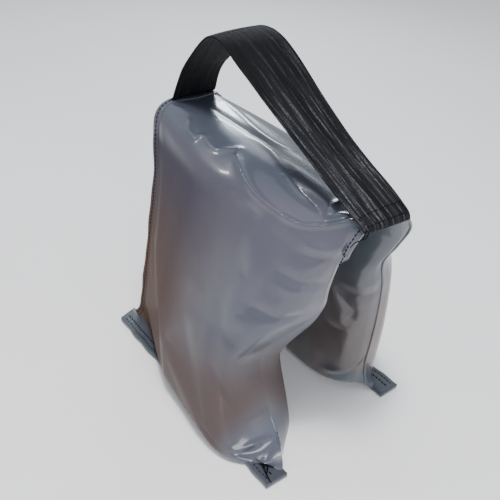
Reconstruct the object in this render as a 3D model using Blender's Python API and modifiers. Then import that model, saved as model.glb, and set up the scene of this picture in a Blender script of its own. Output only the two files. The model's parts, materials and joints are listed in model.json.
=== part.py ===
"""Saddle sandbag for lighting stands: two sand-filled pouches of coated sheet that hang
from a folded ridge, with a webbing handle over the ridge.

Frame: +Z up, the ridge runs along X, the pouches stand to -Y (near) and +Y (far).
The origin is on the floor, under the middle of the ridge. Units are metres.
"""

import math

import bmesh
import bpy
from mathutils import Vector

MM = 0.001

# Driving dimensions
RIDGE_HEIGHT = 248 * MM  # fold axis of the pouches, level with the top of the outer sheet
RIDGE_HALF_LENGTH = 131 * MM
WEBBING_WIDTH = 50 * MM
WEBBING_THICK = 1.8 * MM
SHEET = 0.9 * MM
GAP = 0.3 * MM
HEM_WIDTH = 20 * MM
HEM_HALF_LENGTH = 136 * MM
FLANGE = 7 * MM
THREAD_RADIUS = 0.35 * MM
HEM_STITCH_INSETS = {"outer": 5 * MM, "inner": 14.5 * MM}  # from the hem's outer edge
HEM_STITCH_END = 4 * MM  # the stitching stops this far before the hem's ends

# Derived dimensions
SADDLE_HALF = WEBBING_WIDTH / 2
FOLD_GAP = 1.2 * MM  # between the ridge strips and the pouch sheets, where the bag folds
LAYER = SHEET + GAP  # pitch of stacked sheets
HEM_OUT = 92 * MM  # outer edge of the hem, measured from the middle plane
HEM_START = HEM_OUT - HEM_WIDTH
HEM_INNER_Z = 1.5 * SHEET + GAP  # middle of the inner sheet, one layer above the folded strip
HEM_OUTER_Z = HEM_INNER_Z + LAYER
HEM_TOP_Z = HEM_OUTER_Z + LAYER + SHEET / 2

ROWS = 24  # from the ridge to the hem
COLUMNS = 16  # along the ridge, between the two side seams
EDGE_POWER = 2.6  # how far the pouch stays full towards its side seams
EDGE_ROUND = 0.55
NORMAL_STEP = 0.04  # share of the seam rail either side, for its direction
FILL_CUTS = 9  # of the sand's cage, each way
FILL_SIDE = 0.05  # the sand ends this share of the pouch's length before each side seam
FILL_TOP, FILL_BOTTOM = 0.15, 0.70  # shares of the way down the rails
FILL_CLEARANCE = 4 * MM  # from the middle of a sheet to the sand, measured through the pouch

# Rails of a pouch: (distance out from the middle plane, height), ridge to hem
TOP_OUT = SADDLE_HALF + FOLD_GAP
OUTER_RAIL = [
    (TOP_OUT, RIDGE_HEIGHT - SHEET / 2),
    (32.5 * MM, 246 * MM),
    (43 * MM, 239 * MM),
    (56 * MM, 225 * MM),
    (75 * MM, 190 * MM),
    (91 * MM, 143 * MM),
    (101 * MM, 97 * MM),
    (105.5 * MM, 58 * MM),
    (102 * MM, 30 * MM),
    (91 * MM, 14 * MM),
    (HEM_START - 3 * MM, HEM_OUTER_Z + 3.2 * MM),
    (HEM_START, HEM_OUTER_Z),
    (HEM_OUT - LAYER, HEM_OUTER_Z),
]
INNER_RAIL = [
    (TOP_OUT, RIDGE_HEIGHT - SHEET / 2 - LAYER),
    (25.9 * MM, 240 * MM),
    (24.5 * MM, 222 * MM),
    (22 * MM, 188 * MM),
    (22 * MM, 145 * MM),
    (25 * MM, 100 * MM),
    (31 * MM, 55 * MM),
    (37 * MM, 22 * MM),
    (44 * MM, 4.6 * MM),
    (52 * MM, SHEET / 2 + 0.6 * MM),
    (HEM_START - 5 * MM, SHEET / 2 + 0.15 * MM),
    (HEM_START, HEM_INNER_Z),
    (HEM_OUT - LAYER, HEM_INNER_Z),
]
# The side seams: (distance out, height, half of the pouch's length at that height)
SEAM_RAIL = [
    (TOP_OUT, RIDGE_HEIGHT - SHEET / 2 - LAYER / 2, RIDGE_HALF_LENGTH - FLANGE),
    (30.5 * MM, 245 * MM, 122 * MM),
    (33.5 * MM, 226 * MM, 117 * MM),
    (38 * MM, 190 * MM, 111 * MM),
    (44 * MM, 152 * MM, 107 * MM),
    (50 * MM, 108 * MM, 105 * MM),
    (55.5 * MM, 66 * MM, 106 * MM),
    (59.5 * MM, 34 * MM, 110 * MM),
    (63 * MM, 15 * MM, 117 * MM),
    (66 * MM, 7 * MM, 122 * MM),
    (HEM_START - 2.5 * MM, HEM_INNER_Z + LAYER / 2 + 0.8 * MM, 125 * MM),
    (HEM_START, HEM_INNER_Z + LAYER / 2, 127 * MM),
    (HEM_OUT - LAYER, HEM_INNER_Z + LAYER / 2, HEM_HALF_LENGTH - FLANGE - LAYER),
]

# Handle: the webbing's path in the XZ plane, from the front sewn end over the crown to the back
HANDLE_END = 11 * MM  # length of webbing that lies flat on the ridge and is sewn down
HANDLE_FRONT_PATH = [(95 * MM, 263 * MM)]
GRIP_FRONT_X = 62 * MM
GRIP_BACK_X = -111 * MM
HANDLE_GRIP_PATH = [
    (62 * MM, 278 * MM),
    (28 * MM, 293.5 * MM),
    (-8 * MM, 309.5 * MM),
    (-32 * MM, 322 * MM),
    (-48 * MM, 329.5 * MM),
    (-57 * MM, 331.6 * MM),
    (-69 * MM, 331.6 * MM),
    (-79 * MM, 326 * MM),
    (-92 * MM, 308.5 * MM),
    (-104 * MM, 289 * MM),
    (-111 * MM, 278 * MM),
]
HANDLE_BACK_PATH = [(-119 * MM, 261 * MM)]
HANDLE_BACK_END = 7 * MM
HANDLE_BASE_Z = RIDGE_HEIGHT + GAP + WEBBING_THICK / 2
GRIP_GAP = 0.3 * MM
# The stitched box at each end: (which end of the ridge, its two rows' distances from that end)
HANDLE_STITCHES = {
    "front": (1, 2.5 * MM, 8.5 * MM),
    "back": (-1, 2 * MM, 5.5 * MM),
}
HANDLE_STITCH_MARGIN = 2.5 * MM  # from the webbing's edges

COLOURS = {
    "pvc": ((0.23, 0.24, 0.27, 1.0), 0.28),
    "webbing": ((0.012, 0.012, 0.014, 1.0), 0.85),
    "thread": ((0.008, 0.008, 0.01, 1.0), 0.7),
    "sand": ((0.45, 0.33, 0.2, 1.0), 0.95),
}


def clear_scene():
    for obj in list(bpy.data.objects):
        bpy.data.objects.remove(obj)


def new_collection(name):
    collection = bpy.data.collections.new(name)
    bpy.context.scene.collection.children.link(collection)
    return collection


def make_materials():
    made = {}
    for name, (colour, roughness) in COLOURS.items():
        material = bpy.data.materials.new(name)
        material.use_nodes = True
        shader = material.node_tree.nodes["Principled BSDF"]
        shader.inputs["Base Color"].default_value = colour
        shader.inputs["Roughness"].default_value = roughness
        material.diffuse_color = colour
        made[name] = material
    return made


def add_object(name, data, material, collection):
    obj = bpy.data.objects.new(name, data)
    obj.data.materials.append(material)
    collection.objects.link(obj)
    return obj


def smooth_at(points, t):
    """The point at t, from 0 to 1, on a Catmull-Rom curve through evenly spaced points."""
    spans = len(points) - 1
    place = min(max(t, 0.0), 1.0) * spans
    i = min(int(place), spans - 1)
    f = place - i
    p0 = points[max(i - 1, 0)]
    p1, p2 = points[i], points[i + 1]
    p3 = points[min(i + 2, spans)]
    return tuple(
        0.5 * (2 * b + (c - a) * f + (2 * a - 5 * b + 4 * c - d) * f * f + (3 * b - a - 3 * c + d) * f**3)
        for a, b, c, d in zip(p0, p1, p2, p3)
    )


def fullness(u):
    """0 at the side seams (u = 0 or 1), rising quickly to 1 over the middle of the pouch."""
    return (1 - abs(2 * u - 1) ** EDGE_POWER) ** EDGE_ROUND if 0 < u < 1 else 0.0


def seam_normal(t):
    """Unit vector (out, up) square to the seam rail, pointing to the outer sheet's side."""
    a = smooth_at(SEAM_RAIL, t - NORMAL_STEP)
    b = smooth_at(SEAM_RAIL, t + NORMAL_STEP)
    run = Vector((b[0] - a[0], b[1] - a[1])).normalized()
    square = Vector((-run.y, run.x))
    # At the ridge the sheets lie one above the other, level with the saddle's strips.
    turned = min(t * (len(SEAM_RAIL) - 1), 1.0)
    return Vector((0, 1)).lerp(square, turned).normalized()


def sheet_point(rail, layer_side, column, row):
    """(x, out, z) on a pouch sheet. Columns 0 and COLUMNS + 2 are the flanges' free edges."""
    t = row / ROWS
    out, z, half = smooth_at(SEAM_RAIL, t)
    normal = seam_normal(t)
    out += normal.x * layer_side * LAYER / 2
    z += normal.y * layer_side * LAYER / 2
    if column in (0, COLUMNS + 2):
        sign = -1 if column == 0 else 1
        return sign * (half + FLANGE), out, z
    u = (column - 1) / COLUMNS
    spread = fullness(u)
    rail_out, rail_z = smooth_at(rail, t)
    x = (2 * u - 1) * half
    return x, out + (rail_out - out) * spread, z + (rail_z - z) * spread


def pouch_sheet(name, rail, layer_side, side, material, collection):
    """One sheet of a pouch: a grid bent over its rails and given the sheet's thickness."""
    mesh = bpy.data.meshes.new(name)
    bm = bmesh.new()
    across, down = COLUMNS + 2, ROWS
    bmesh.ops.create_grid(bm, x_segments=across, y_segments=down, size=0.5)
    for vertex in bm.verts:
        column = round((vertex.co.x + 0.5) * across)
        row = round((0.5 - vertex.co.y) * down)
        x, out, z = sheet_point(rail, layer_side, column, row)
        vertex.co = Vector((x, side * out, z))
    bm.to_mesh(mesh)
    bm.free()
    obj = add_object(name, mesh, material, collection)
    skin = obj.modifiers.new("thickness", "SOLIDIFY")
    skin.thickness = SHEET
    skin.offset = 0
    mesh.shade_smooth()
    return obj


def fill_point(u, t, depth):
    """(x, out, z) inside a pouch. depth runs from -1 at the inner sheet to 1 at the outer sheet."""
    seam_out, seam_z, half = smooth_at(SEAM_RAIL, t)
    seam = Vector((seam_out, seam_z))
    spread = fullness(u)
    outer = seam.lerp(Vector(smooth_at(OUTER_RAIL, t)), spread)
    inner = seam.lerp(Vector(smooth_at(INNER_RAIL, t)), spread)
    middle = (outer + inner) / 2
    reach = (outer - inner) / 2
    kept = 1 - FILL_CLEARANCE / reach.length
    place = middle + reach * kept * depth
    return (2 * u - 1) * half, place.x, place.y


def pouch_sand(name, side, material, collection):
    """The body of sand: a cube mapped into the hollow between the two sheets."""
    mesh = bpy.data.meshes.new(name)
    bm = bmesh.new()
    bmesh.ops.create_cube(bm, size=2)
    bmesh.ops.subdivide_edges(bm, edges=bm.edges[:], cuts=FILL_CUTS, use_grid_fill=True)
    for vertex in bm.verts:
        along, depth, rise = vertex.co
        u = 0.5 + along * (0.5 - FILL_SIDE)
        t = FILL_TOP + (FILL_BOTTOM - FILL_TOP) * (1 - rise) / 2
        x, out, z = fill_point(u, t, depth)
        vertex.co = Vector((x, side * out, z))
    if side < 0:
        bmesh.ops.reverse_faces(bm, faces=bm.faces)
    bm.to_mesh(mesh)
    bm.free()
    mesh.shade_smooth()
    return add_object(name, mesh, material, collection)


def outline_solid(name, outline, length, heading, material, collection):
    """A flat outline stood upright and extruded both ways: along X at heading 90, along Y at 0."""
    curve = bpy.data.curves.new(name, "CURVE")
    curve.dimensions = "2D"
    curve.fill_mode = "BOTH"
    curve.extrude = length / 2
    spline = curve.splines.new("POLY")
    spline.points.add(len(outline) - 1)
    for point, (level, z) in zip(spline.points, outline):
        point.co = (level, z, 0, 1)
    spline.use_cyclic_u = True
    obj = add_object(name, curve, material, collection)
    obj.rotation_euler = (math.radians(90), 0, math.radians(heading))
    return obj


def hem_fold(name, side, material, collection):
    """The strip folded round the raw edges of both sheets, as a U in section."""
    top = HEM_TOP_Z
    inner_low, inner_high = SHEET, top - SHEET
    outline = [
        (HEM_START, 0),
        (HEM_OUT, 0),
        (HEM_OUT, top),
        (HEM_START, top),
        (HEM_START, inner_high),
        (HEM_OUT - SHEET, inner_high),
        (HEM_OUT - SHEET, inner_low),
        (HEM_START, inner_low),
    ]
    placed = [(side * y, z) for y, z in outline]
    return outline_solid(name, placed, 2 * HEM_HALF_LENGTH, 90, material, collection)


def saddle_strip(name, top_z, material, collection):
    """A flat strip of sheet across the ridge, between the two fold lines."""
    outline = [
        (-SADDLE_HALF, top_z - SHEET),
        (SADDLE_HALF, top_z - SHEET),
        (SADDLE_HALF, top_z),
        (-SADDLE_HALF, top_z),
    ]
    return outline_solid(name, outline, 2 * RIDGE_HALF_LENGTH, 90, material, collection)


def offset_path(path, distance):
    """The path moved square to itself in the XZ plane, with every span kept parallel."""
    squares = []
    for (x0, z0), (x1, z1) in zip(path, path[1:]):
        run = Vector((x1 - x0, z1 - z0)).normalized()
        squares.append(Vector((-run.y, run.x)))
    moved = []
    for i, point in enumerate(path):
        before = squares[max(i - 1, 0)]
        after = squares[min(i, len(squares) - 1)]
        mitre = (before + after) / (1 + before.dot(after))
        place = Vector(point) + mitre * distance
        moved.append((place.x, place.y))
    return moved


def webbing_solid(name, path, ends, material, collection):
    """Webbing along a path in the XZ plane, with upright cuts at its two end positions."""
    upper = offset_path(path, -WEBBING_THICK / 2)
    lower = offset_path(path, WEBBING_THICK / 2)
    upper[0], lower[0] = (ends[0], upper[0][1]), (ends[0], lower[0][1])
    upper[-1], lower[-1] = (ends[1], upper[-1][1]), (ends[1], lower[-1][1])
    outline = upper + lower[::-1]
    return outline_solid(name, outline, WEBBING_WIDTH, 0, material, collection)


def thread(name, points, material, collection, cyclic=False):
    """A run of sewing thread as a round cord."""
    curve = bpy.data.curves.new(name, "CURVE")
    curve.dimensions = "3D"
    curve.bevel_depth = THREAD_RADIUS
    curve.bevel_resolution = 1
    curve.use_fill_caps = not cyclic
    spline = curve.splines.new("POLY")
    spline.points.add(len(points) - 1)
    for point, place in zip(spline.points, points):
        point.co = (*place, 1)
    spline.use_cyclic_u = cyclic
    return add_object(name, curve, material, collection)


def seam_thread_points(side, end):
    """Along a side flange, over the outer sheet, from the ridge to just before the hem."""
    lift = LAYER / 2 + SHEET / 2 + GAP + THREAD_RADIUS
    points = []
    for row in range(1, ROWS - 3):
        t = row / ROWS
        out, z, half = smooth_at(SEAM_RAIL, t)
        normal = seam_normal(t)
        x = end * (half + FLANGE * 0.5)
        points.append((x, side * (out + normal.x * lift), z + normal.y * lift))
    return points


def hem_thread_points(side, inset):
    """Straight along the hem, on top of the folded strip."""
    z = HEM_TOP_Z + GAP + THREAD_RADIUS
    end = HEM_HALF_LENGTH - HEM_STITCH_END
    out = HEM_OUT - inset
    return [(-end, side * out, z), (end, side * out, z)]


def build_pouch(prefix, side, materials, collection):
    pvc = materials["pvc"]
    pouch_sheet(prefix + "_outer_panel", OUTER_RAIL, 1, side, pvc, collection)
    pouch_sheet(prefix + "_inner_panel", INNER_RAIL, -1, side, pvc, collection)
    pouch_sand(prefix + "_sand", side, materials["sand"], collection)
    hem_fold(prefix + "_hem_fold", side, pvc, collection)
    for row_name, inset in HEM_STITCH_INSETS.items():
        name = f"{prefix}_hem_stitching_{row_name}"
        thread(name, hem_thread_points(side, inset), materials["thread"], collection)
    for end_name, end in (("front", 1), ("back", -1)):
        name = f"{prefix}_{end_name}_seam_stitching"
        thread(name, seam_thread_points(side, end), materials["thread"], collection)


def build_saddle(materials, collection):
    pvc = materials["pvc"]
    saddle_strip("saddle_top", RIDGE_HEIGHT, pvc, collection)
    saddle_strip("saddle_lining", RIDGE_HEIGHT - LAYER, pvc, collection)


def build_handle(materials, collection):
    webbing = materials["webbing"]
    flat = HANDLE_BASE_Z
    front_end = [(RIDGE_HALF_LENGTH, flat), (RIDGE_HALF_LENGTH - HANDLE_END, flat)]
    back_end = [(-RIDGE_HALF_LENGTH + HANDLE_BACK_END, flat), (-RIDGE_HALF_LENGTH, flat)]
    front = front_end + HANDLE_FRONT_PATH + [HANDLE_GRIP_PATH[0]]
    back = [HANDLE_GRIP_PATH[-1]] + HANDLE_BACK_PATH + back_end
    front_cuts = (RIDGE_HALF_LENGTH, GRIP_FRONT_X + GRIP_GAP)
    webbing_solid("handle_front_leg", front, front_cuts, webbing, collection)
    grip_cuts = (GRIP_FRONT_X - GRIP_GAP, GRIP_BACK_X + GRIP_GAP)
    webbing_solid("handle_grip", HANDLE_GRIP_PATH, grip_cuts, webbing, collection)
    back_cuts = (GRIP_BACK_X - GRIP_GAP, -RIDGE_HALF_LENGTH)
    webbing_solid("handle_back_leg", back, back_cuts, webbing, collection)
    z = flat + WEBBING_THICK / 2 + GAP + THREAD_RADIUS
    reach = SADDLE_HALF - HANDLE_STITCH_MARGIN
    for name, (end, first, last) in HANDLE_STITCHES.items():
        outer_x = end * (RIDGE_HALF_LENGTH - first)
        inner_x = end * (RIDGE_HALF_LENGTH - last)
        box = [(outer_x, -reach, z), (outer_x, reach, z), (inner_x, reach, z), (inner_x, -reach, z)]
        thread(f"handle_{name}_stitching", box, materials["thread"], collection, cyclic=True)


def main():
    clear_scene()
    collection = new_collection("sandbag")
    materials = make_materials()
    build_saddle(materials, collection)
    build_handle(materials, collection)
    build_pouch("near", -1, materials, collection)
    build_pouch("far", 1, materials, collection)


main()
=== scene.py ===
"""Saddle sandbag in glossy coated sheet, with a webbing handle, standing on a pale floor.

+X runs along the ridge, the near pouch is on -Y and the far pouch on +Y. Metres, +Z up.
"""

import json
import math

import bpy
import numpy as np
from mathutils import Matrix, Vector

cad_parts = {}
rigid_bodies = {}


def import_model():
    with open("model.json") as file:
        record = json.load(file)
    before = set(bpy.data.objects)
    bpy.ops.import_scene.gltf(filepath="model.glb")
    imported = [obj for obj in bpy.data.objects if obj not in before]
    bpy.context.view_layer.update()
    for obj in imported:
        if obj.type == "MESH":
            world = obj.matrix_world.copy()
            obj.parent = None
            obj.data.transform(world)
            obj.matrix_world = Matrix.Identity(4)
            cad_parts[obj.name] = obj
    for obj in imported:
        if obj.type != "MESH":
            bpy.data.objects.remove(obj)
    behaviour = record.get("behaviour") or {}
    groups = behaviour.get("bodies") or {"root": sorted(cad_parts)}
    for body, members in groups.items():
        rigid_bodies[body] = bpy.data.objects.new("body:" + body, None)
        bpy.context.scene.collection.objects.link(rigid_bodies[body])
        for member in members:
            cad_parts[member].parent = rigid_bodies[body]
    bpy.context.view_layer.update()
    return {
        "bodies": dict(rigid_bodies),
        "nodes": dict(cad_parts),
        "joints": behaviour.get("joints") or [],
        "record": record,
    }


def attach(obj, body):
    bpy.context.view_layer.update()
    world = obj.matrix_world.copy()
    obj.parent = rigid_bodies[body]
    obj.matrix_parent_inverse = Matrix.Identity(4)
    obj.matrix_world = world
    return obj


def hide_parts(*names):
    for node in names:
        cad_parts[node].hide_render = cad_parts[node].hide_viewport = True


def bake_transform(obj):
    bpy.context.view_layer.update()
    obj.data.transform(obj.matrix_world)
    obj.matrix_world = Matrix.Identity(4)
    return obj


MM = 0.001

# Camera: where it stands and how it is turned, solved from the object's own corners
CAMERA_AT = (0.4059, -0.3616, 0.5230)
CAMERA_YAW = 139.95  # degrees, from +X towards +Y
CAMERA_PITCH = -35.23  # negative looks down
CAMERA_ROLL = 4.61
CAMERA_LENS = 50.1

# The bag
SHEET = 0.9 * MM
FLAT_WIDTH = 250 * MM  # of a pouch's sheets between the side seams, before filling
COLUMNS = 48  # cells of a sheet from its back seam to its front seam, before it is refined
ROWS = 56  # cells from the ridge's middle to the hem
SEAM_POINTS = 160
FLANGE = 7 * MM
FLANGE_RAILS = (-0.25, 0.0, 0.5, 1.0)  # its lengthwise lines, as shares of its width
FLANGE_FLAT = (0, 2 * MM, 5 * MM, 9 * MM)  # where those lines lie on the flat sheet
FLANGE_STITCHES = 0.7  # where its stitches run between the seam line and its middle
HEM_START = 72 * MM
HEM_OUT = 92 * MM
HEM_ENDS = {"near": (-136 * MM, 136 * MM), "far": (-136 * MM, 117 * MM)}
HEM_SLANT = 7 * MM  # how much shorter the hem's outer edge is at its back end
HEM_THICK = 4.2 * MM
HEM_STEPS = 140  # points along the hem
# How far out its lengthwise lines lie: the first is tucked under the pouch
HEM_RAILS = (HEM_START - 2 * MM, HEM_START + 4 * MM, HEM_START + 11 * MM, HEM_OUT - 3 * MM, HEM_OUT)
HEM_FLARE = 3.0 * MM  # how far its front end swings outwards
HEM_CURL = 1.4 * MM  # how far its ends curl up
HEM_RAISED = 0.3 * MM  # how far it stands off the floor in between
HEM_SWAYS = ((0.7 * MM, 9, 1), (0.4 * MM, 31, 0))  # outwards: height, rate and start of each wave
HEM_WAVES = ((0.25 * MM, 17, 0),)  # upwards
THREAD_RADIUS = 0.42 * MM
THREAD_SIDES = 6
STITCH_PITCH = 4.2 * MM
STITCH_LENGTH = 3.0 * MM
STITCH_POINTS = 5
STITCH_WOBBLE = 0.12 * MM
# The hem's stitch rows: (inset from its edge, thread radius)
HEM_ROWS = {"outer": (4.5 * MM, THREAD_RADIUS), "inner": (10 * MM, 0.6 * MM)}

# Sections half-way along a pouch, from the ridge's middle line: (distance out, height) in mm
OUTER_SECTION = [
    (0, 248.4), (8, 248.3), (16, 247.7), (24, 246.4), (34, 243.2), (45, 237), (57, 226), (75, 193),
    (91, 145), (101, 97), (106.5, 58), (107.5, 36), (106, 18), (99, 8), (89, 5.2), (78, 4.6),
    (72, 3.4),
]
INNER_SECTION = [
    (0, 246.6), (9, 244.5), (15, 237), (19, 222), (22, 205), (23, 185), (22.5, 145), (23, 100),
    (24, 60), (27, 28), (32, 9), (40, 1.2), (52, 0.8), (66, 0.7), (72, 1.4),
]
# Side seams: (along the ridge, distance out, height) in mm, from the ridge to the hem
NEAR_BACK_SEAM = [
    (-125, 0, 248.2), (-127.5, 26, 247.8), (-126, 40, 239), (-121, 46, 216), (-115, 50, 190),
    (-111, 56, 153), (-110, 61, 119), (-112, 64, 81), (-116, 67, 39), (-121, 68, 12),
    (-127, 72, 2.4),
]
NEAR_FRONT_SEAM = [
    (125, 0, 248.2), (125, 20, 246.5), (120, 25, 230), (112, 26, 203), (106, 26, 180),
    (103, 26, 160), (95, 32, 138), (80, 44, 115), (70, 56, 97), (71, 59, 80), (78, 59, 60),
    (87, 58, 40), (98, 58, 25), (113, 61, 13), (125, 67, 7.5), (131, 72, 5),
]
FAR_FRONT_SEAM = [
    (125, 0, 248.2), (125, 24, 243), (123, 43.5, 222), (113.5, 45, 198), (105, 42, 176),
    (103, 50, 148), (101, 55, 122), (100, 57, 94), (100, 56, 68), (99, 56, 45), (99, 60, 22),
    (103, 66, 7), (108, 72, 2.4),
]
FAR_BACK_SEAM = [
    (-125, 0, 248.2), (-125, 24, 247.6), (-121, 33, 236), (-116, 42, 205), (-111, 49, 168),
    (-107, 55, 128), (-107, 60, 88), (-112, 63, 45), (-118, 66, 12), (-127, 72, 2.4),
]
# Creases pressed into a sheet: (height, width) in mm, then points in mm, either (along the ridge,
# down the sheet) on the flat sheet or (x, y, z) on the filled bag. A negative height is a valley.
CREASES = {
    "near_outer": [
        ((0.9, 3), (-28, 3), (-15, 4), (-1, 6), (17, 11), (32, 15)),
        ((2.2, 5), (-120, 34), (-110, 30), (-99, 28), (-92, 26)),
        ((2.0, 3), (-86, 30), (-82, 35), (-74, 42), (-61, 44)),
        ((1.8, 3), (-61, 44), (-55, 37), (-38, 40), (-28, 39)),
        ((1.8, 3), (-30, 39), (-22, 33), (-17, 26)),
        ((3.0, 7), (-12, 36), (2, 39), (17, 45), (33, 50), (50, 52), (66, 52), (80, 52)),
        ((2.9, 2.3), (-17, 26), (-10, 33), (-2, 37), (17, 45), (33, 50), (50, 52), (66, 52),
         (84, 51)),
        ((4.0, 2.6), (74, 52), (91, 48), (102, 39), (113, 27), (121, 18)),
        ((-6.0, 8), (36, 17), (56, 22), (77, 26), (97, 33)),
        ((1.7, 2.6), (99, 36), (97, 30), (93, 21), (92, 12)),
        ((1.6, 2.2), (98, 30), (106, 22), (116, 17)),
        ((2.6, 4), (104, 62), (117, 54), (124, 45)),
        ((-1.8, 5), (102, 72), (114, 67), (123, 61)),
        ((-2.0, 5), (98, 96), (112, 94), (124, 89)),
        ((1.0, 6), (100, 106), (112, 103), (124, 97)),
        ((-2.4, 5), (92, 136), (108, 134), (123, 126)),
        ((-4.4, 6), (100, 210), (109, 226), (117, 246), (124, 266)),
        ((2.0, 6), (111, 238), (112, 256), (112, 274)),
        ((-1.6, 4), (80, 268), (96, 272), (110, 280)),
        ((2.2, 2.4), (93, -101, 14), (98, -94, 15), (100, -84, 17), (103, -73, 17), (107, -63, 14)),
        ((-1.6, 3.4), (98, -98, 11), (104, -88, 12), (108, -77, 11)),
        ((2.4, 2.4), (90, -105, 12), (94, -101, 9), (100, -97, 8), (106, -92, 7), (111, -87, 8),
         (115, -78, 6)),
        ((2.2, 2.2), (115, -79, 6), (111, -73, 9), (110, -66, 13), (108, -57, 13)),
    ],
    "far_outer": [
        ((0.9, 3), (-104, 21), (-83, 18), (-42, 9), (-11, 7), (10, 12)),
    ],
    "far_inner": [
        ((-2.2, 6), (82, 131), (96, 135), (110, 137), (123, 140)),
        ((1.6, 6), (90, 122), (104, 124), (121, 126)),
        ((-1.7, 5), (86, 139), (98, 147), (109, 157), (103, 170)),
        ((1.4, 6), (96, 160), (98, 172), (110, 182)),
        ((-1.4, 6), (70, 176), (88, 182), (106, 180)),
        ((2.2, 4), (86, 239), (100, 236), (112, 233), (123, 228)),
        ((-1.8, 5), (92, 247), (106, 244), (120, 240)),
    ],
}
CREASE_POINTS = 40  # along each crease

# Powers of the swell towards a pouch's back and front seams, at its ridge and at its foot:
# 2 leaves the seam at a slant, higher powers stay full until close to it
BACK_POWER = {"near": (1.6, 1.7), "far": (2.2, 3.0)}
FRONT_POWER = {"near": (2.8, 11.0), "far": (2.2, 4.6)}

# In the next values, a DOWN is (start, length) in shares of the way down a pouch, and an ALONG is
# (middle, width) in shares of the way from its back seam to its front seam.
# How far a pouch's front end bulges past its seam
FRONT_SWELL = {"near": 6.5 * MM, "far": 2 * MM}
FRONT_SWELL_DOWN = (0.1, 0.85)
FRONT_SWELL_ALONG = (0.95, 0.05)
# How much more of a pouch's filling lies at the front of its foot than at the back
FOOT_TILT = {"near": 0.32, "far": 0.0}
FOOT_TILT_DOWN = (0.55, 0.3)
# How far a pouch's foot spreads outwards over the hem at its front corner
EAR = {"near": 13 * MM, "far": 8 * MM}
EAR_LIFT = 4 * MM
EAR_DOWN = (0.85, 0.15)
EAR_ALONG = (0.92, 0.08)
EAR_PEAK = 0.47  # the highest value of the ear's shape before it is scaled

# A flange's direction down its seam: (share of the way down, along the ridge, outwards)
FLANGE_TURNS = {
    "near_back": [(0, -1, 0), (1, -1, 0)],
    "far_back": [(0, -1, 0), (1, -1, 0)],
    "near_front": [(0, 1, 0), (0.14, 1, 0), (0.27, -0.9, -0.3), (1, -0.9, -0.3)],
    "far_front": [(0, -0.9, 0.3), (1, -0.9, 0.3)],
}
# Where each flange begins and ends down its seam: the front ones start below the handle's end
FLANGE_SPANS = {
    "near_back": (0, 1),
    "far_back": (0, 1),
    "near_front": (0.075, 0.93),
    "far_front": (0.11, 0.95),
}

# Cloth simulation
CLOTH_FRAMES = 18
FOLD_DEPTH = 0.5  # how much of the simulated folds the heavy sheet keeps
HELD_RIDGE = 0.12  # share of the way down both sheets that the ridge holds still
HELD_BASE = 0.86  # share of the way down the inner sheet where the floor starts to hold it
HELD_FOOT = 3  # rows of the outer sheet held at the hem
HELD_BACK = 4  # columns of the outer sheet held at the back seam

# Loose thread ends, in mm: by the handle's front corner and on the near hem's front corner
HANDLE_TAILS = [
    [(133, -24, 247), (135, -26, 245.5), (135, -28, 242), (132, -32, 239), (130, -34, 234)],
    [(133, -23, 248), (136, -24, 247), (137, -27, 244), (135, -29, 242)],
]
HEM_TAILS = [
    [(115, -84, 6.5), (122, -86, 7.6), (130, -88, 6.4), (136, -89, 6.2)],
    [(114, -86, 6.5), (119, -82, 7.6), (125, -77, 6.6)],
    [(118, -80, 6.6), (123, -83, 7.6), (127, -87, 6.4)],
]

# The handle's two edges in the XZ plane, in mm, from its front sewn end to its back sewn end
HANDLE_NEAR_EDGE = [
    (134, 245), (133.4, 247.4), (131, 249.2), (126, 250.8), (116, 254.6), (93, 264), (71, 274),
    (55, 281), (29, 292), (5, 302.5), (-12, 310.5), (-30, 318.5), (-42, 324.7), (-52, 328.6),
    (-62, 330.6), (-72, 329), (-82, 322), (-96, 307), (-111, 288), (-119, 273), (-125, 260),
    (-128.5, 252.5), (-132.5, 249.4), (-136, 247.4), (-137.5, 243.5),
]
HANDLE_FAR_EDGE = [
    (134.4, 241.5), (133.8, 244.5), (131.4, 247.6), (126, 251), (110, 259), (86, 268.5),
    (62, 279.5), (42, 290.5), (21, 303), (-7, 321), (-27, 331.5), (-41, 335.5), (-52, 336),
    (-62, 334.5), (-71, 331), (-80, 325), (-93, 310), (-108, 292), (-114, 286), (-121, 276),
    (-125.5, 265), (-128.5, 253.5), (-132.5, 249.4), (-136, 247.4), (-137.5, 243.5),
]
HANDLE_WIDTH = 50 * MM
HANDLE_THICK = 1.8 * MM
HANDLE_CURL = 1 * MM  # how far the webbing's edges dip below its middle
HANDLE_CROWN_X = -62 * MM
HANDLE_ROWS = 181  # points along it
HANDLE_COLUMNS = 17  # points across it
# The stitched boxes at its ends: (end of the ridge, start and finish along it in mm, loose threads)
HANDLE_BOXES = {
    "front": (1, 123, 132, HANDLE_TAILS),
    "back": (-1, 126.5, 131, ()),
}

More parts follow.
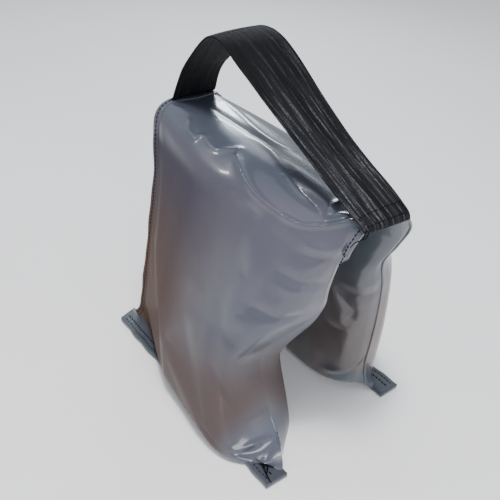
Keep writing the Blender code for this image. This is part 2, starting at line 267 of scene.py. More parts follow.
# Lights: (name, place, what it points at, size, power in W, colour, whether the gloss mirrors it).
# The overhead light is soft and unmirrored, and a small one in its place makes the glints. The
# next two are mirrored as the ridge's sheen and its bright streak, and the shoulder light on the
# creases below it. The last one fills in the pouches' front ends.
ABOVE = (0.15, -0.25, 1.6)
BAG_MIDDLE = (0, 0, 0.15)
BAG_LOW = (0, 0, 0.12)
RIDGE_BACK = (-0.05, 0, 0.22)
SHOULDER = (0.05, -0.04, 0.24)
LIGHTS = [
    ("overhead", ABOVE, BAG_MIDDLE, (0.5, 0.5), 18, (1.0, 0.99, 0.98), False),
    ("glint", ABOVE, BAG_MIDDLE, (0.16, 0.16), 11, (1.0, 0.97, 0.98), True),
    ("behind", (-1.02, 0.78, 0.74), RIDGE_BACK, (0.25, 0.42), 2.5, (0.74, 0.89, 1.0), True),
    ("streak", (-1.00, 0.76, 0.80), RIDGE_BACK, (0.40, 0.05), 2.1, (0.90, 0.96, 1.0), True),
    ("shoulder", (-0.94, -0.66, 1.3), SHOULDER, (0.12, 0.12), 2.3, (1.0, 0.98, 1.0), True),
    ("front_fill", (1.3, -0.4, 0.7), BAG_LOW, (0.6, 0.6), 10, (0.94, 0.97, 1.0), True),
]
WORLD_COLOUR = (0.86, 0.90, 1.0, 1)
WORLD_STRENGTH = 0.70
FLOOR_HALF = 4.0


# ---------------------------------------------------------------- small tools


def catmull(points, count):
    """count points evenly spaced along a smooth curve through the given points."""
    points = np.array(points, float)
    ends = [2 * points[0] - points[1]], [2 * points[-1] - points[-2]]
    knots = np.concatenate([ends[0], points, ends[1]])
    fine = []
    steps = np.linspace(0, 1, 24, endpoint=False)[:, None]
    for a, b, c, d in zip(knots, knots[1:], knots[2:], knots[3:]):
        cubic = 3 * b - a - 3 * c + d
        square = 2 * a - 5 * b + 4 * c - d
        fine.append(0.5 * (2 * b + (c - a) * steps + square * steps**2 + cubic * steps**3))
    fine = np.concatenate(fine + [points[-1:]])
    along = distances(fine)
    at = np.linspace(0, along[-1], count)
    return np.stack([np.interp(at, along, fine[:, k]) for k in range(fine.shape[1])], 1)


def distances(points):
    """How far along a run of points each one lies."""
    return np.concatenate([[0], np.cumsum(np.linalg.norm(np.diff(points, axis=0), axis=1))])


def ramp(value, start, length):
    """0 up to start, then rising to 1 over length."""
    return np.clip((value - start) / length, 0, 1)


def bell(value, middle, width):
    """1 at the middle, falling to about a third at width from it."""
    return np.exp(-(((value - middle) / width) ** 2))


def ripple(along, waves):
    """A sum of sine waves, each given as (height, rate, start)."""
    return sum(height * np.sin(along * rate + start) for height, rate, start in waves)


def grid_faces(rows, columns, start=0, flip=False):
    """Quads over a grid of rows x columns vertices, numbered row by row."""
    faces = []
    for r in range(rows - 1):
        for c in range(columns - 1):
            a = start + r * columns + c
            quad = (a, a + 1, a + columns + 1, a + columns)
            faces.append(quad[::-1] if flip else quad)
    return faces


def make_object(name, vertices, faces, material, uvs=None, smooth=True):
    """A mesh object. uvs holds one (u, v) for each vertex, in metres on the flat sheet."""
    mesh = bpy.data.meshes.new(name)
    mesh.from_pydata([tuple(v) for v in vertices], [], faces)
    if uvs is not None:
        layer = mesh.uv_layers.new(name="flat")
        corners = np.zeros(len(mesh.loops), np.int32)
        mesh.loops.foreach_get("vertex_index", corners)
        layer.data.foreach_set("uv", np.asarray(uvs, np.float32)[corners].ravel())
    if smooth:
        mesh.shade_smooth()
    mesh.materials.append(material)
    obj = bpy.data.objects.new(name, mesh)
    bpy.context.scene.collection.objects.link(obj)
    return obj


def thicken(obj, thick, bevel):
    """obj, a thin sheet, given thickness to both sides and rounded edges."""
    skin = obj.modifiers.new("thickness", "SOLIDIFY")
    skin.thickness = thick
    skin.offset = 0
    edges = obj.modifiers.new("edges", "BEVEL")
    edges.width = bevel
    edges.segments = 2
    edges.limit_method = "ANGLE"
    graph = bpy.context.evaluated_depsgraph_get()
    graph.update()
    mesh = bpy.data.meshes.new_from_object(obj.evaluated_get(graph))
    obj.modifiers.clear()
    obj.data = mesh
    return obj


# ---------------------------------------------------------------- materials


class Nodes:
    """Short names for building a node tree."""

    def __init__(self, name):
        self.material = bpy.data.materials.new(name)
        self.material.use_nodes = True
        self.tree = self.material.node_tree
        self.shader = self.tree.nodes["Principled BSDF"]

    def add(self, kind, **inputs):
        """A new node with some of its inputs set."""
        node = self.tree.nodes.new(kind)
        for key, value in inputs.items():
            self.put(node.inputs[key], value)
        return node

    def put(self, socket, value):
        """Link another node's output to a socket, or set it to a constant."""
        if isinstance(value, bpy.types.NodeSocket):
            self.tree.links.new(value, socket)
        else:
            socket.default_value = value

    def math(self, operation, total, *others):
        """The values added, multiplied or compared one after another."""
        for other in others:
            node = self.tree.nodes.new("ShaderNodeMath")
            node.operation = operation
            self.put(node.inputs[0], total)
            self.put(node.inputs[1], other)
            total = node.outputs[0]
        return total

    def mix(self, factor, a, b):
        """Colour a where factor is 0 and colour b where it is 1."""
        node = self.tree.nodes.new("ShaderNodeMix")
        node.data_type = "RGBA"
        self.put(node.inputs[0], factor)
        self.put(node.inputs[6], a)
        self.put(node.inputs[7], b)
        return node.outputs[2]

    def remap(self, value, low, high, to_low=0.0, to_high=1.0):
        """to_low where value is low, rising smoothly to to_high where it is high."""
        node = self.tree.nodes.new("ShaderNodeMapRange")
        node.interpolation_type = "SMOOTHSTEP"
        self.put(node.inputs[0], value)
        for socket, number in zip(node.inputs[1:5], (low, high, to_low, to_high)):
            socket.default_value = number
        return node.outputs[0]

    def noise(self, vector, scale, detail, roughness):
        """Soft random patches, about scale of them to each unit of the vector."""
        node = self.add("ShaderNodeTexNoise", Scale=scale, Detail=detail, Roughness=roughness)
        self.tree.links.new(vector, node.inputs["Vector"])
        return node.outputs["Fac"]

    def waves(self, vector, direction, pitch, distortion):
        """Bands square to direction ("X" or "Y"), one every pitch metres."""
        node = self.add("ShaderNodeTexWave", Distortion=distortion, Detail=1.0)
        node.bands_direction = direction
        node.inputs["Scale"].default_value = math.pi / 10 / pitch
        self.tree.links.new(vector, node.inputs["Vector"])
        return node.outputs["Fac"]

    def bump(self, height, strength, distance, normal=None):
        """The surface raised by up to distance metres, on top of an earlier bump's normal."""
        node = self.add("ShaderNodeBump", Height=height, Strength=strength, Distance=distance)
        if normal is not None:
            self.tree.links.new(normal, node.inputs["Normal"])
        return node.outputs["Normal"]

    def scrim(self, flat, pitch, distortion):
        """Bands both ways: the squares of a coated sheet's threads."""
        across, down = (self.waves(flat, way, pitch, distortion) for way in "XY")
        return self.math("MAXIMUM", across, down)

    def flat(self):
        """Places on the flat sheet, in metres."""
        node = self.tree.nodes.new("ShaderNodeUVMap")
        node.uv_map = "flat"
        return node.outputs["UV"]

    def place(self):
        """Places in space, in metres."""
        return self.tree.nodes.new("ShaderNodeTexCoord").outputs["Object"]

    def split(self, vector):
        """A vector's x, y and z."""
        node = self.tree.nodes.new("ShaderNodeSeparateXYZ")
        self.tree.links.new(vector, node.inputs[0])
        return node.outputs

    def stretched(self, vector, scale):
        """A vector scaled by different amounts along its axes."""
        node = self.tree.nodes.new("ShaderNodeMapping")
        self.tree.links.new(vector, node.inputs["Vector"])
        node.inputs["Scale"].default_value = scale
        return node.outputs[0]


def sheet_masks(n, x, y, z):
    """Where the ground's brown reflection is painted into the sheet's colour, and where dark
    surroundings leave it dull.
    """
    # low on the near face, except at its front end
    near_low = n.math(
        "MULTIPLY", n.remap(z, 0.13, 0.05), n.remap(x, 0.10, 0.075), n.remap(y, 0.0, -0.02)
    )
    # the near face's back half, fading upwards
    near_back = n.math(
        "MULTIPLY",
        n.remap(z, 0.24, 0.10),
        n.remap(x, 0.05, -0.06),
        n.remap(y, -0.03, -0.05, 0.0, 0.88),
    )
    # the far pouch's lower part, except its outer face
    far_low = n.math(
        "MULTIPLY",
        n.remap(z, 0.20, 0.08),
        n.remap(y, 0.005, 0.02, 0.0, 0.5),
        n.remap(y, 0.080, 0.055),
    )
    # its front end, further out
    far_end = n.math(
        "MULTIPLY",
        n.remap(y, 0.050, 0.062),
        n.remap(x, 0.070, 0.088, 0.0, 0.85),
        n.remap(z, 0.205, 0.17),
    )
    # neither of them at its foot's front corner
    off_corner = n.math("MAXIMUM", n.remap(x, 0.085, 0.068), n.remap(z, 0.020, 0.045))
    far_painted_reflection = n.math("MULTIPLY", n.math("MAXIMUM", far_low, far_end), off_corner)
    # the ground's brown reflection, painted into the colour where this mask is high
    painted_ground_reflection = n.math("MAXIMUM", near_back, far_painted_reflection, n.math("MULTIPLY", near_low, 0.65))
    # the back part of both pouches, below the ridge
    back = n.math("MULTIPLY", n.remap(x, 0.03, -0.045, 0.0, 0.93), n.remap(z, 0.234, 0.212))
    dull_low, dull_far = n.math("MULTIPLY", near_low, 0.7), n.math("MULTIPLY", far_painted_reflection, 0.4)
    dull = n.math("MAXIMUM", near_back, back, dull_low, dull_far)
    return painted_ground_reflection, dull


def sheet_colour(n, x, y, z, painted_ground_reflection, haze):
    """Blue-grey, with painted shade and painted reflections laid into it."""
    # painted reflection of the bright surroundings: lighter and more lavender higher up
    grey = n.mix(n.remap(z, 0.08, 0.22), (0.050, 0.057, 0.080, 1), (0.072, 0.069, 0.094, 1))
    # painted shade: darker towards the back, where the sheet mirrors dark surroundings
    grey = n.mix(n.remap(x, 0.10, -0.05, 0.0, 0.5), grey, (0.022, 0.021, 0.030, 1))
    # painted light: lighter and greener on the far pouch
    grey = n.mix(n.remap(y, 0.0, 0.02, 0.0, 0.8), grey, (0.070, 0.084, 0.097, 1))
    # painted shade: darker on the ridge's top
    grey = n.mix(n.remap(z, 0.232, 0.244), grey, (0.045, 0.053, 0.072, 1))
    # painted reflection of the ground: a brown tint where the mask is high
    with_painted_reflection = n.mix(painted_ground_reflection, grey, (0.104, 0.064, 0.044, 1))
    return n.mix(n.math("MULTIPLY", haze, 0.15), with_painted_reflection, (0.09, 0.09, 0.11, 1))


def sheet_material():
    """Glossy vinyl-coated polyester: the scrim's squares show faintly through the coating."""
    n = Nodes("coated_sheet")
    flat, place = n.flat(), n.place()
    scrim = n.scrim(flat, 2.3 * MM, 0.3)
    dents = n.noise(place, 30.0, 2.0, 0.5)
    peel = n.noise(place, 420.0, 2.0, 0.5)
    haze = n.noise(place, 14.0, 1.0, 0.4)
    x, y, z = n.split(place)
    painted_ground_reflection, dull = sheet_masks(n, x, y, z)
    # the colour holds painted shade and painted reflections
    n.put(n.shader.inputs["Base Color"], sheet_colour(n, x, y, z, painted_ground_reflection, haze))
    hazy, duller = n.math("MULTIPLY", haze, 0.10), n.math("MULTIPLY", dull, 0.22)
    roughness = n.math("ADD", hazy, 0.24, duller)
    n.put(n.shader.inputs["Roughness"], roughness)
    n.put(n.shader.inputs["Coat Weight"], n.remap(dull, 0.0, 0.9, 0.6, 0.0))
    n.put(n.shader.inputs["Specular IOR Level"], n.remap(dull, 0.0, 0.9, 0.5, 0.02))
    n.shader.inputs["IOR"].default_value = 1.52
    n.shader.inputs["Coat Roughness"].default_value = 0.09
    weave = n.bump(scrim, 0.30, 0.12 * MM)
    skin = n.bump(peel, 0.10, 0.2 * MM, weave)
    n.put(n.shader.inputs["Normal"], n.bump(dents, 0.10, 2.5 * MM, skin))
    return n.material


def hem_material():
    """The same sheet where it is folded and sewn flat: the scrim shows more, the gloss less."""
    n = Nodes("hem_sheet")
    flat, place = n.flat(), n.place()
    scrim = n.scrim(flat, 1.3 * MM, 0.8)
    patches = n.noise(place, 60.0, 4.0, 0.6)
    woven = n.mix(scrim, (0.016, 0.020, 0.027, 1), (0.060, 0.068, 0.084, 1))
    colour = n.mix(n.remap(patches, 0.4, 0.7), woven, (0.040, 0.045, 0.056, 1))
    n.put(n.shader.inputs["Base Color"], colour)
    n.put(n.shader.inputs["Roughness"], n.remap(patches, 0.3, 0.7, 0.3, 0.48))
    n.shader.inputs["Coat Weight"].default_value = 0.2
    n.shader.inputs["Coat Roughness"].default_value = 0.2
    weave = n.bump(scrim, 0.4, 0.25 * MM)
    n.put(n.shader.inputs["Normal"], n.bump(patches, 0.4, 1.2 * MM, weave))
    return n.material


def webbing_material():
    """Black woven webbing: ribs along its length, fine picks across, and grey streaks towards its
    front end, partly rubbed fibres and partly painted sheen.
    """
    n = Nodes("woven_webbing")
    flat, place = n.flat(), n.place()
    ribs = n.waves(flat, "X", 1.3 * MM, 0.3)
    picks = n.waves(flat, "Y", 1.1 * MM, 0.6)
    weave = n.math("MULTIPLY", n.math("ADD", ribs, 0.35), n.math("ADD", picks, 0.6))
    bands = n.remap(n.noise(n.stretched(flat, (150.0, 3.0, 1.0)), 1.0, 2.0, 0.5), 0.38, 0.62)
    streaks = n.noise(n.stretched(flat, (330.0, 14.0, 1.0)), 1.0, 5.0, 0.65)
    fibres = n.noise(place, 900.0, 3.0, 0.6)
    x, _, _ = n.split(place)
    # lighter towards the front end: partly rubbed fibres, partly painted sheen
    to_front = n.remap(x, -0.05, 0.10, 0.2, 1.0)
    sheen_and_wear_streaks, fuzzy = n.remap(streaks, 0.48, 0.70), n.remap(fibres, 0.3, 0.7)
    wear_and_sheen = n.math("MULTIPLY", sheen_and_wear_streaks, fuzzy, to_front)
    black = n.mix(n.remap(weave, 0.2, 1.6), (0.0008, 0.0008, 0.001, 1), (0.004, 0.004, 0.005, 1))
    # lengthwise bands, lighter towards the front end as painted sheen
    bands_with_sheen = n.math("MULTIPLY", bands, n.math("MULTIPLY", to_front, 0.4))
    banded = n.mix(bands_with_sheen, black, (0.018, 0.020, 0.024, 1))
    # grey streaks: partly rubbed fibres, partly painted sheen
    n.put(n.shader.inputs["Base Color"], n.mix(wear_and_sheen, banded, (0.16, 0.16, 0.17, 1)))
    n.put(n.shader.inputs["Roughness"], n.remap(weave, 0.2, 1.6, 0.75, 0.55))
    n.shader.inputs["Specular IOR Level"].default_value = 0.15
    fuzz = n.bump(fibres, 0.3, 0.2 * MM, n.bump(weave, 0.6, 0.35 * MM))
    n.put(n.shader.inputs["Normal"], n.bump(bands, 0.5, 0.5 * MM, fuzz))
    return n.material


def thread_material():
    """Black sewing thread, with the twist of its plies."""
    n = Nodes("sewing_thread")
    place = n.place()
    plies = n.noise(place, 1500.0, 2.0, 0.5)
    black = n.mix(plies, (0.001, 0.001, 0.0012, 1), (0.006, 0.006, 0.007, 1))
    n.put(n.shader.inputs["Base Color"], black)
    n.put(n.shader.inputs["Roughness"], n.remap(plies, 0.3, 0.7, 0.6, 0.8))
    n.shader.inputs["Specular IOR Level"].default_value = 0.06
    n.put(n.shader.inputs["Normal"], n.bump(plies, 0.5, 0.15 * MM))
    return n.material


# ---------------------------------------------------------------- pouches


def spread(count):
    """Shares from 0 to 1, closer together towards both ends, where a pouch curves most."""
    even = np.linspace(0, 1, count)
    return 0.45 * even + 0.55 * (0.5 - 0.5 * np.cos(math.pi * even))


def fullness(prefix, u, down):
    """0 at the side seams and 1 over the middle; down runs from 0 at the ridge to 1 at the foot."""
    back_power = np.interp(down, (0, 1), BACK_POWER[prefix])
    front_power = np.interp(down**1.5, (0, 1), FRONT_POWER[prefix])
    slant = 1 - np.maximum(1 - 2 * u, 0) ** back_power
    blunt = np.sqrt(np.maximum(1 - np.maximum(2 * u - 1, 0) ** front_power, 0))
    return np.where(u < 0.5, slant, blunt)


def sheet_grid(prefix, section, seams, side):
    """A pouch sheet as an array [row, column] of points, from the ridge's middle to the hem."""
    middle = catmull(section, ROWS + 1) * MM
    back = catmull(seams[0], ROWS + 1) * MM
    front = catmull(seams[1], ROWS + 1) * MM
    u = spread(COLUMNS + 1)[None, :, None]
    down = np.linspace(0, 1, ROWS + 1)[:, None, None]
    chord = back[:, None] * (1 - u) + front[:, None] * u
    centre = (back + front) / 2
    swell = np.zeros_like(back)
    swell[:, 1:] = middle - centre[:, 1:]
    tilt = 1 + FOOT_TILT[prefix] * (2 * u - 1) * ramp(down, *FOOT_TILT_DOWN)
    grid = chord + swell[:, None] * fullness(prefix, u, down) * tilt
    u, down = u[:, :, 0], down[:, :, 0]
    plump = np.sin(np.pi * ramp(down, *FRONT_SWELL_DOWN)) ** 0.7
    grid[:, :, 0] += FRONT_SWELL[prefix] * plump * bell(u, *FRONT_SWELL_ALONG)
    ear = ramp(down, *EAR_DOWN) ** 2 * bell(u, *EAR_ALONG) * (1 - u) ** 0.3 / EAR_PEAK
    grid[:, :, 1] += EAR[prefix] * ear
    grid[:, :, 2] += EAR_LIFT * ear
    grid[:, :, 1] *= side
    return grid


def flat_grid(section):
    """The same sheet lying flat, in metres: what it was cut to."""
    length = distances(np.array(section, float) * MM)[-1]
    x = (spread(COLUMNS + 1) - 0.5) * FLAT_WIDTH
    s = np.linspace(0, length, ROWS + 1)
    return np.stack(np.meshgrid(x, s), -1)


def pillow_faces(side):
    """The faces of a pouch's two sheets, sewn together round all four edges and facing out. Also
    both sheets' vertex numbers as [row, column] arrays, and which of those lie on an edge."""
    rows, columns = ROWS + 1, COLUMNS + 1
    edge = np.ones((rows, columns), bool)
    edge[1:-1, 1:-1] = False
    outer = np.arange(rows * columns).reshape(rows, columns)
    inner = outer.copy()
    inner[~edge] = rows * columns + np.arange((~edge).sum())
    faces = grid_faces(rows, columns, flip=side > 0)
    for r in range(ROWS):
        for c in range(COLUMNS):
            corners = [int(inner[k]) for k in ((r, c), (r, c + 1), (r + 1, c + 1), (r + 1, c))]
            faces.append(tuple(corners if side > 0 else corners[::-1]))
    return faces, outer, inner, edge


def inflate(name, outer, inner, side):
    """Cloth simulation of a pouch under the pressure of its sand. Returns both sheets' grids."""
    faces, outer_numbers, inner_numbers, edge = pillow_faces(side)
    vertices = np.zeros((inner_numbers.max() + 1, 3))
    vertices[inner_numbers] = inner
    vertices[outer_numbers] = outer
    vertices[outer_numbers[edge]] = (outer[edge] + inner[edge]) / 2
    obj = make_object(name + "_work", vertices, faces, bpy.data.materials.new(name + "_work"))
    ridge_rows = int(ROWS * HELD_RIDGE)
    base_row = int(ROWS * HELD_BASE)
    held = set(outer_numbers[edge])
    held |= set(outer_numbers[:ridge_rows].ravel()) | set(inner_numbers[:ridge_rows].ravel())
    held |= set(inner_numbers[base_row:].ravel()) | set(outer_numbers[-HELD_FOOT:].ravel())
    held |= set(outer_numbers[:, :HELD_BACK].ravel())
    pins = obj.vertex_groups.new(name="sewn")
    pins.add([int(i) for i in sorted(held)], 1.0, "REPLACE")
    set_cloth(obj.modifiers.new("Cloth", "CLOTH"))
    for frame in range(1, CLOTH_FRAMES + 1):
        bpy.context.scene.frame_set(frame)
    result = obj.evaluated_get(bpy.context.evaluated_depsgraph_get()).to_mesh()
    points = np.zeros(len(result.vertices) * 3)
    result.vertices.foreach_get("co", points)
    points = points.reshape(-1, 3)
    bpy.data.objects.remove(obj)
    bpy.context.scene.frame_set(1)
    folds = points - vertices
    settled = vertices + folds * FOLD_DEPTH
    return settled[outer_numbers], settled[inner_numbers]


def set_cloth(cloth):
    """Stiff coated sheet under steady pressure. Vertices in the group "sewn" stay in place."""
    cloth.point_cache.frame_start = 1
    cloth.point_cache.frame_end = CLOTH_FRAMES
    settings = cloth.settings
    settings.quality = 5
    settings.mass = 0.05
    settings.tension_stiffness = 30
    settings.compression_stiffness = 30
    settings.shear_stiffness = 15
    settings.bending_stiffness = 6
    settings.tension_damping = 15
    settings.compression_damping = 15
    settings.shear_damping = 15
    settings.air_damping = 5
    settings.vertex_group_mass = "sewn"
    settings.use_pressure = True
    settings.uniform_pressure_force = 4.0
    settings.effector_weights.gravity = 0
    cloth.collision_settings.use_collision = False
    cloth.collision_settings.use_self_collision = False


def refine(grid):
    """The grid with every cell split, along smooth curves in both directions."""
    for axis in (0, 1):
        moved = np.moveaxis(grid, axis, 0)
        before = np.concatenate([2 * moved[:1] - moved[1:2], moved[:-1]])
        after = np.concatenate([moved[1:], 2 * moved[-1:] - moved[-2:-1]])
        middles = (9 * (moved[:-1] + moved[1:]) - before[:-1] - after[1:]) / 16
        fine = np.zeros((2 * len(moved) - 1,) + moved.shape[1:])
        fine[::2], fine[1::2] = moved, middles
        grid = np.moveaxis(fine, 0, axis)
    return grid


def crease(grid, flat, creases, out):
    """grid with creases pressed into it; out (1 or -1) turns the grid's normals outwards."""
    down = np.gradient(grid, axis=0)
    along = np.gradient(grid, axis=1)
    normals = np.cross(along, down) * out
    normals /= np.maximum(np.linalg.norm(normals, axis=2), 1e-9)[:, :, None]
    lift = np.zeros(grid.shape[:2])
    for (height, width), *path in creases:
        path = catmull(path, CREASE_POINTS) * MM
        surface = flat if path.shape[1] == 2 else grid
        apart = np.linalg.norm(surface[:, :, None] - path, axis=3)
        nearest = apart.argmin(2)
        # lower towards both its ends
        taper = np.sin(math.pi * (nearest + 3) / (CREASE_POINTS + 5)) ** 0.6
        lift += height * MM * taper * np.exp(-((apart.min(2) / (width * MM)) ** 1.5))
    from_seam = FLAT_WIDTH / 2 - np.abs(flat[:, :, 0])
    lift *= ramp(from_seam, 0, 2 * MM)
    return grid + normals * lift[:, :, None]


def build_pouch(prefix, side, seams, materials):
    """A pouch's two sheets, from the ridge's middle to the hem, as one filled bag."""
    outer = sheet_grid(prefix, OUTER_SECTION, seams, side)
    inner = sheet_grid(prefix, INNER_SECTION, seams, side)
    flats = flat_grid(OUTER_SECTION), flat_grid(INNER_SECTION)
    outer, inner = inflate(prefix, outer, inner, side)
    outer, inner = refine(refine(outer)), refine(refine(inner))
    flats = [refine(refine(flat)) for flat in flats]
    outer = crease(outer, flats[0], CREASES.get(prefix + "_outer", []), side)
    inner = crease(inner, flats[1], CREASES.get(prefix + "_inner", []), -side)
    for grid in (outer, inner):
        grid[:, :, 2] = np.maximum(grid[:, :, 2], SHEET / 2)  # nothing sinks into the floor
    rows, columns = outer.shape[:2]
    vertices = np.concatenate([outer.reshape(-1, 3), inner.reshape(-1, 3)])
    faces = grid_faces(rows, columns, flip=side > 0)
    faces += grid_faces(rows, columns, rows * columns, flip=side < 0)
    uvs = np.concatenate([flat.reshape(-1, 2) for flat in flats])
    bag = make_object(prefix + "_pouch", vertices, faces, materials["sheet"], uvs)
    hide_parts(prefix + "_outer_panel", prefix + "_inner_panel", prefix + "_sand")
    bend(bag)


def bend(obj):
    """obj with its placement baked into its mesh."""
    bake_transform(obj)


# ---------------------------------------------------------------- flanges, hems and stitches


def ribbon_object(name, rails, thick, material, widths):
    """A strip through several rails (arrays of points), given thickness."""
    rows, columns = len(rails[0]), len(rails)
    vertices = np.stack(rails, 1).reshape(-1, 3)
    along = distances(rails[0])
    uvs = np.stack(np.broadcast_arrays(np.array(widths)[None, :], along[:, None]), -1)
    faces = grid_faces(rows, columns)
    obj = make_object(name, vertices, faces, material, uvs.reshape(-1, 2))
    return thicken(obj, thick, thick * 0.22)


def flange_rails(name, seam, side):
    """The lengthwise lines of a side seam's flange, from just inside the seam line outwards, with
    a slight flutter."""
    start, end = FLANGE_SPANS[name]
    points = catmull(seam, SEAM_POINTS)[int(SEAM_POINTS * start) : int(SEAM_POINTS * end)] * MM
    points[:, 1] *= side
    along = np.linspace(start, end, len(points))
    phase = len(name)  # so that the flanges don't all flutter alike
    flutter = ripple(along, ((0.6, 23, phase), (0.3, 51, 2 * phase)))
    turns = np.array(FLANGE_TURNS[name], float)
    direction = np.stack([np.interp(along, turns[:, 0], turns[:, k]) for k in (1, 2)], 1)
    turning_over = np.abs(direction[:, 0]) < 0.6
    direction[:, 1] -= np.where(turning_over, 0.4, 0)
    direction /= np.linalg.norm(direction, axis=1)[:, None]
    rails = []
    for share in FLANGE_RAILS:
        rail = points.copy()
        rail[:, 0] += direction[:, 0] * FLANGE * share
        rail[:, 1] += side * (direction[:, 1] * FLANGE * share + flutter * MM * max(share, 0))
        rails.append(rail)
    return rails


def thread_tube(path, normals, radius):
    """Vertices and faces of a bent thread along a path, thinner at its ends."""
    count, sides = len(path), THREAD_SIDES
    run = np.gradient(path, axis=0)
    run /= np.maximum(np.linalg.norm(run, axis=1), 1e-9)[:, None]
    across = np.cross(run, normals)
    across /= np.maximum(np.linalg.norm(across, axis=1), 1e-9)[:, None]
    above = np.cross(across, run)
    thin = radius * (0.55 + 0.45 * np.sin(math.pi * np.linspace(0.04, 0.96, count)))
    turns = 2 * math.pi * np.arange(sides) / sides
    cosines, sines = np.cos(turns)[None, :, None], np.sin(turns)[None, :, None]
    round_shape = cosines * above[:, None] + sines * across[:, None]
    vertices = (path[:, None] + thin[:, None, None] * round_shape).reshape(-1, 3)
    faces = []
    for ring in range(count - 1):
        for side in range(sides):
            a, b = ring * sides + side, ring * sides + (side + 1) % sides
            faces.append((a, b, b + sides, a + sides))
    faces.append(tuple(range(sides))[::-1])
    faces.append(tuple((count - 1) * sides + side for side in range(sides)))
    return vertices, faces


def stitch_row(name, path, normals, material, radius=THREAD_RADIUS, tails=()):
    """Separate stitches along a path, each one a short thread that dips at its ends. tails holds
    paths of loose thread ends."""
    path, normals = np.asarray(path), np.asarray(normals)
    along = distances(path)
    arch = 1 - np.linspace(-1, 1, STITCH_POINTS) ** 2
    threads = []
    for k, middle in enumerate(np.arange(STITCH_PITCH / 2, along[-1], STITCH_PITCH)):
        at = middle + np.linspace(-0.5, 0.5, STITCH_POINTS) * STITCH_LENGTH
        centre = np.stack([np.interp(at, along, path[:, i]) for i in range(3)], 1)
        lift = np.stack([np.interp(at, along, normals[:, i]) for i in range(3)], 1)
        wobble = STITCH_WOBBLE * math.sin(k * 2.4)
        sideways = np.cross(np.gradient(centre, axis=0), lift)
        sideways /= np.maximum(np.linalg.norm(sideways, axis=1), 1e-9)[:, None]
        centre = centre + lift * (arch[:, None] * 0.35 - 0.1) * MM + sideways * wobble
        threads.append(thread_tube(centre, lift, radius))
    for tail in tails:
        tail = catmull(tail, 24) * MM
        threads.append(thread_tube(tail, np.tile([0.3, 0.2, 1.0], (len(tail), 1)), radius))
    vertices, faces = [], []
    for points, quads in threads:
        faces += [tuple(i + len(vertices) for i in quad) for quad in quads]
        vertices += list(points)
    return make_object(name, vertices, faces, material)


def build_seam(prefix, side, end_name, seam, materials):
    """A side seam's flange, with a row of stitches seen from both sides."""
    rails = flange_rails(f"{prefix}_{end_name}", seam, side)
    name = f"{prefix}_{end_name}_flange"
    flange = ribbon_object(name, rails, 2 * SHEET, materials["sheet"], FLANGE_FLAT)
    bend(flange)
    line = rails[1] * (1 - FLANGE_STITCHES) + rails[2] * FLANGE_STITCHES
    run = np.gradient(line, axis=0)
    out = rails[3] - rails[1]
    normals = np.cross(run, out)
    normals /= np.linalg.norm(normals, axis=1)[:, None]
    for face_name, sign in (("outside", 1), ("inside", -1)):
        offset = normals * sign * (SHEET + 0.1 * MM)
        row_name = f"{name}_stitches_{face_name}"
        stitches = stitch_row(row_name, line + offset, normals * sign, materials["thread"])
        if sign > 0:
            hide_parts(f"{prefix}_{end_name}_seam_stitching")
        bend(stitches)


def hem_line(prefix, side, out, height):
    """A line along the hem at a distance out from the ridge's middle plane."""
    count = len(height)
    share = np.linspace(-1, 1, count)
    sway = ripple(share, HEM_SWAYS) + HEM_FLARE * np.maximum(share, 0) ** 3
    across = (out - HEM_START) / (HEM_OUT - HEM_START)
    back, front = HEM_ENDS[prefix]
    x = np.linspace(back + HEM_SLANT * across, front, count)
    return np.stack([x, side * (out + sway * across), height], 1)


def hem_lift(out):
    """How far the hem curls off the floor along its length, more at its ends."""
    share = np.linspace(-1, 1, HEM_STEPS)
    lift = HEM_CURL * np.abs(share) ** 8 + ripple(share, HEM_WAVES) + HEM_RAISED
    return lift * (0.5 + 0.5 * (out - HEM_START) / (HEM_OUT - HEM_START))


def build_hem(prefix, side, materials):
    """The doubled band at the pouch's foot, lying on the floor, with two rows of stitches."""
    rails = [hem_line(prefix, side, out, HEM_THICK / 2 + hem_lift(out)) for out in HEM_RAILS]
    widths = [out - HEM_START for out in HEM_RAILS]
    band = ribbon_object(prefix + "_hem", rails, HEM_THICK, materials["hem"], widths)
    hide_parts(prefix + "_hem_fold")
    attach(band, prefix + "_pouch")
    for row_name, (inset, radius) in HEM_ROWS.items():
        out = HEM_OUT - inset
        line = hem_line(prefix, side, out, HEM_THICK + hem_lift(out) + 0.05 * MM)[3:-3]
        normals = np.tile([0, 0, 1.0], (len(line), 1))
        name = f"{prefix}_hem_stitches_{row_name}"
        tails = HEM_TAILS if (prefix, row_name) == ("near", "inner") else ()
        stitches = stitch_row(name, line, normals, materials["thread"], radius, tails)
        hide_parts(f"{prefix}_hem_stitching_{row_name}")
        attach(stitches, prefix + "_pouch")


# ---------------------------------------------------------------- handle


def handle_half(name, near, far, material):
    """Half of the webbing handle: a strip with thickness, slightly curled across its width."""
    count, columns = len(near), HANDLE_COLUMNS
    path = (near + far) / 2
    run = np.gradient(path, axis=0)
    run /= np.linalg.norm(run, axis=1)[:, None]
    lift = np.stack([-run[:, 1], run[:, 0]], 1)
    lift *= np.where(run[:, :1] > 0, 1, -1)
    across = np.linspace(-0.5, 0.5, columns)
    vertices = np.zeros((count, columns, 3))
    curl = -HANDLE_CURL * (2 * across) ** 2
    for c, share in enumerate(across):
        middle = near * (0.5 - share) + far * (0.5 + share)
        vertices[:, c, 0] = middle[:, 0] + lift[:, 0] * curl[c]
        vertices[:, c, 1] = share * HANDLE_WIDTH
        vertices[:, c, 2] = middle[:, 1] + lift[:, 1] * curl[c]
    along = distances(path)
    uvs = np.stack(np.broadcast_arrays(across[None, :] * HANDLE_WIDTH, along[:, None]), -1)
    faces = grid_faces(count, columns)
    obj = make_object(name, vertices.reshape(-1, 3), faces, material, uvs.reshape(-1, 2))
    return thicken(obj, HANDLE_THICK, 0.5 * MM)


def height_at(edge, x):
    """Height of a handle edge above a place near one of its ends."""
    half = edge[: len(edge) // 2] if x > 0 else edge[len(edge) // 2 :]
    order = np.argsort(half[:, 0])
    return float(np.interp(x, half[order, 0], half[order, 1]))


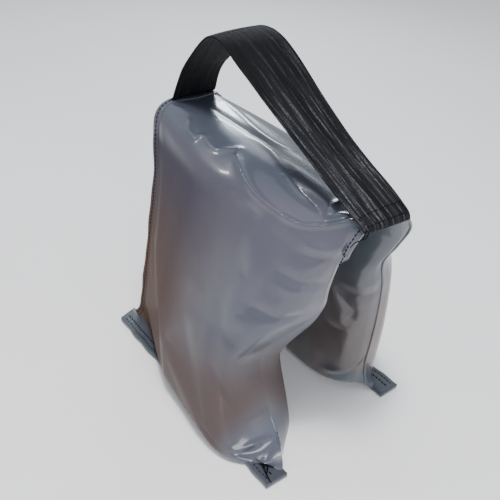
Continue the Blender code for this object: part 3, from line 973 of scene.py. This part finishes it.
def stitch_box(near, far, end, first, last):
    """Points round the box of stitches that holds one end of the handle."""
    reach = 0.45  # of the webbing's width, each side of its middle
    corners = [(last, -reach), (last, reach), (first, reach), (first, -reach), (last, -reach)]
    points = []
    for (x0, y0), (x1, y1) in zip(corners, corners[1:]):
        for step in np.linspace(0, 1, 12, endpoint=False):
            share = y0 + (y1 - y0) * step
            x = end * (x0 + (x1 - x0) * step) * MM
            z = height_at(near, x) * (0.5 - share) + height_at(far, x) * (0.5 + share)
            z += HANDLE_THICK / 2 - HANDLE_CURL * (2 * share) ** 2
            points.append((x, share * HANDLE_WIDTH, z))
    return points


def build_handle(materials):
    """The strap, in two halves that meet at its crown, and the stitched box at each of its ends."""
    near = catmull(HANDLE_NEAR_EDGE, HANDLE_ROWS) * MM
    far = catmull(HANDLE_FAR_EDGE, HANDLE_ROWS) * MM
    crown = int(np.argmin(np.abs(near[:, 0] - HANDLE_CROWN_X)))
    webbing = materials["webbing"]
    front = handle_half("handle_front_half", near[: crown + 1], far[: crown + 1], webbing)
    back = handle_half("handle_back_half", near[crown:], far[crown:], webbing)
    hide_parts("handle_front_leg", "handle_grip")
    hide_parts("handle_back_leg")
    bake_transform(front)
    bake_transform(back)
    for name, (end, first, last, tails) in HANDLE_BOXES.items():
        points = stitch_box(near, far, end, first, last)
        normals = np.tile([0, 0, 1.0], (len(points), 1))
        row_name = f"handle_{name}_stitches"
        stitches = stitch_row(row_name, points, normals, materials["thread"], tails=tails)
        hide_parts(f"handle_{name}_stitching")
        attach(stitches, "saddle")


# ---------------------------------------------------------------- stage


def build_camera():
    """The camera, standing where the photograph was taken from."""
    yaw, pitch, roll = (math.radians(a) for a in (CAMERA_YAW, CAMERA_PITCH, CAMERA_ROLL))
    level_part = math.cos(pitch)
    forward = Vector((level_part * math.cos(yaw), level_part * math.sin(yaw), math.sin(pitch)))
    level = forward.cross(Vector((0, 0, 1))).normalized()
    upright = level.cross(forward)
    right = math.cos(roll) * level + math.sin(roll) * upright
    up = -math.sin(roll) * level + math.cos(roll) * upright
    turn = Matrix((right, up, -forward)).transposed().to_4x4()
    data = bpy.data.cameras.new("camera")
    data.lens = CAMERA_LENS
    camera = bpy.data.objects.new("camera", data)
    camera.matrix_world = Matrix.Translation(CAMERA_AT) @ turn
    bpy.context.scene.collection.objects.link(camera)
    bpy.context.scene.camera = camera


def area_light(name, at, towards, size, power, colour, mirrored):
    """A rectangular light. mirrored says whether the gloss shows it."""
    data = bpy.data.lights.new(name, "AREA")
    data.shape = "RECTANGLE"
    data.size, data.size_y = size
    data.energy = power
    data.color = colour
    light = bpy.data.objects.new(name, data)
    light.location = at
    light.visible_glossy = mirrored
    light.rotation_euler = (Vector(towards) - Vector(at)).to_track_quat("-Z", "Y").to_euler()
    bpy.context.scene.collection.objects.link(light)


def build_stage():
    """The pale floor, the studio's even light and the lamps."""
    n = Nodes("pale_floor")
    grain = n.noise(n.place(), 6.0, 4.0, 0.5)
    n.put(n.shader.inputs["Base Color"], n.mix(grain, (0.80, 0.80, 0.80, 1), (0.84, 0.84, 0.83, 1)))
    n.shader.inputs["Roughness"].default_value = 0.75
    corners = [(x * FLOOR_HALF, y * FLOOR_HALF, 0) for x, y in ((-1, -1), (1, -1), (1, 1), (-1, 1))]
    floor = make_object("floor", corners, [(0, 1, 2, 3)], n.material, smooth=False)
    world = bpy.data.worlds.new("studio")
    world.use_nodes = True
    background = world.node_tree.nodes["Background"]
    background.inputs[0].default_value = WORLD_COLOUR
    background.inputs[1].default_value = WORLD_STRENGTH
    bpy.context.scene.world = world
    for light in LIGHTS:
        area_light(*light)


def main():
    """Build the sandbag on its stage."""
    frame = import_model()
    build_camera()
    build_stage()
    materials = {
        "sheet": sheet_material(),
        "hem": hem_material(),
        "webbing": webbing_material(),
        "thread": thread_material(),
    }
    seams = {
        "near": (NEAR_BACK_SEAM, NEAR_FRONT_SEAM),
        "far": (FAR_BACK_SEAM, FAR_FRONT_SEAM),
    }
    for prefix, side in (("near", -1), ("far", 1)):
        build_pouch(prefix, side, seams[prefix], materials)
        for end_name, seam in zip(("back", "front"), seams[prefix]):
            build_seam(prefix, side, end_name, seam, materials)
        build_hem(prefix, side, materials)
    build_handle(materials)
    # the pouches' sheets run up to the ridge's middle, so they stand for its two strips too
    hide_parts("saddle_top")
    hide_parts("saddle_lining")


main()
